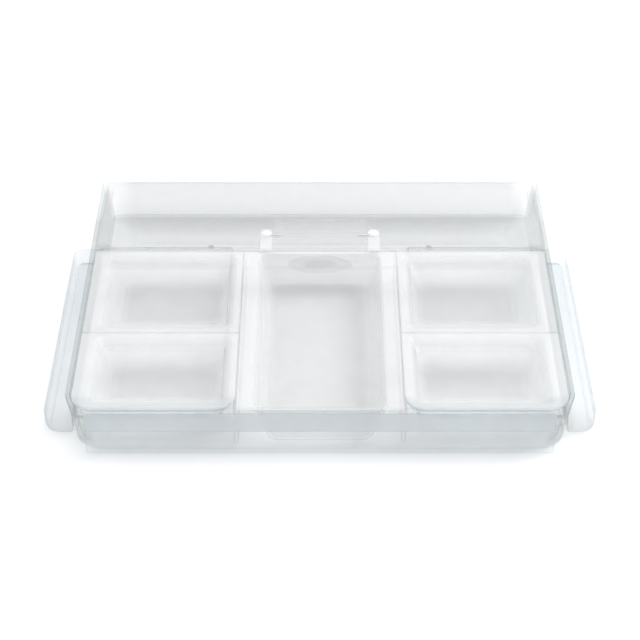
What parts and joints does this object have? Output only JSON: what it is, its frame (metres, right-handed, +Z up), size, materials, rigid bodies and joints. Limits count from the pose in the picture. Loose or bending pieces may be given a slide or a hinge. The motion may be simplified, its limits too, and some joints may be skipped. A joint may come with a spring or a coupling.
{
  "type": "parts sorting tray",
  "caption": "Clear low sorting tray with lift-out bins, a lift-out tool tray with a small hinged flap, a rear trough and pull-out side drawers.",
  "frame": {"origin": "on the table, under the middle of the tray", "axes": "+X to the user's right along the tray's long side, +Y to the back, +Z up"},
  "size_m": [0.287, 0.216, 0.0294],
  "materials": {
    "clear_shell": "clear, glossy",
    "clear_divider": "clear, glossy",
    "clear_rail": "clear with a faint blue tint",
    "label_strip": "blank, translucent film",
    "clear_bin": "clear, lightly frosted",
    "clear_flap": "clear, glossy",
    "clear_stud": "clear, glossy",
    "badge": "moulded, glossy, blank",
    "clear_drawer": "clear, glossy",
    "clear_grip": "clear with a faint blue-green tint",
    "pin_steel": "plain"
  },
  "bodies": {
    "housing": {"base_plate": "clear_shell", "outer_wall": "clear_shell", "label_rail": "clear_rail", "rear_divider": "clear_divider", "rear_trough": "clear_bin", "long_divider_left": "clear_divider", "long_divider_right": "clear_divider", "cross_divider_left": "clear_divider", "cross_divider_right": "clear_divider", "ledge_left": "clear_divider", "ledge_right": "clear_divider", "runner_front_left": "clear_drawer", "runner_front_right": "clear_drawer", "runner_rear_left": "clear_drawer", "runner_rear_right": "clear_drawer"},
    "tool_tray": {"tool_tray": "clear_bin", "flap_pins": "pin_steel", "flap_studs": "clear_stud", "badge": "badge"},
    "flap": {"flap": "clear_flap"},
    "label_strip": {"label_strip": "label_strip"},
    "bin_front_left": {"bin_front_left": "clear_bin"},
    "bin_rear_left": {"bin_rear_left": "clear_bin"},
    "drawer_left": {"drawer_left": "clear_drawer", "drawer_grip_left": "clear_grip", "drawer_divider_left": "clear_drawer"},
    "bin_front_right": {"bin_front_right": "clear_bin"},
    "bin_rear_right": {"bin_rear_right": "clear_bin"},
    "drawer_right": {"drawer_right": "clear_drawer", "drawer_grip_right": "clear_grip", "drawer_divider_right": "clear_drawer"}
  },
  "joints": [
    {"name": "slide_label_strip", "type": "slide", "parent": "housing", "child": "label_strip", "axis": [1, 0, 0], "range_m": [-0.12, 0.12]},
    {"name": "lift_bin_front_left", "type": "slide", "parent": "housing", "child": "bin_front_left", "axis": [0, 0, 1], "range_m": [0, 0.05]},
    {"name": "lift_bin_rear_left", "type": "slide", "parent": "housing", "child": "bin_rear_left", "axis": [0, 0, 1], "range_m": [0, 0.05]},
    {"name": "pull_drawer_left", "type": "slide", "parent": "housing", "child": "drawer_left", "axis": [-1, 0, 0], "range_m": [0, 0.06]},
    {"name": "lift_bin_front_right", "type": "slide", "parent": "housing", "child": "bin_front_right", "axis": [0, 0, 1], "range_m": [0, 0.05]},
    {"name": "lift_bin_rear_right", "type": "slide", "parent": "housing", "child": "bin_rear_right", "axis": [0, 0, 1], "range_m": [0, 0.05]},
    {"name": "pull_drawer_right", "type": "slide", "parent": "housing", "child": "drawer_right", "axis": [1, 0, 0], "range_m": [0, 0.06]},
    {"name": "lift_tool_tray", "type": "slide", "parent": "housing", "child": "tool_tray", "axis": [0, 0, 1], "range_m": [0, 0.06]},
    {"name": "flap_hinge", "type": "hinge", "parent": "tool_tray", "child": "flap", "pos_m": [0, 0.048, 0.0269], "axis": [1, 0, 0], "range_deg": [0, 100]}
  ]
}
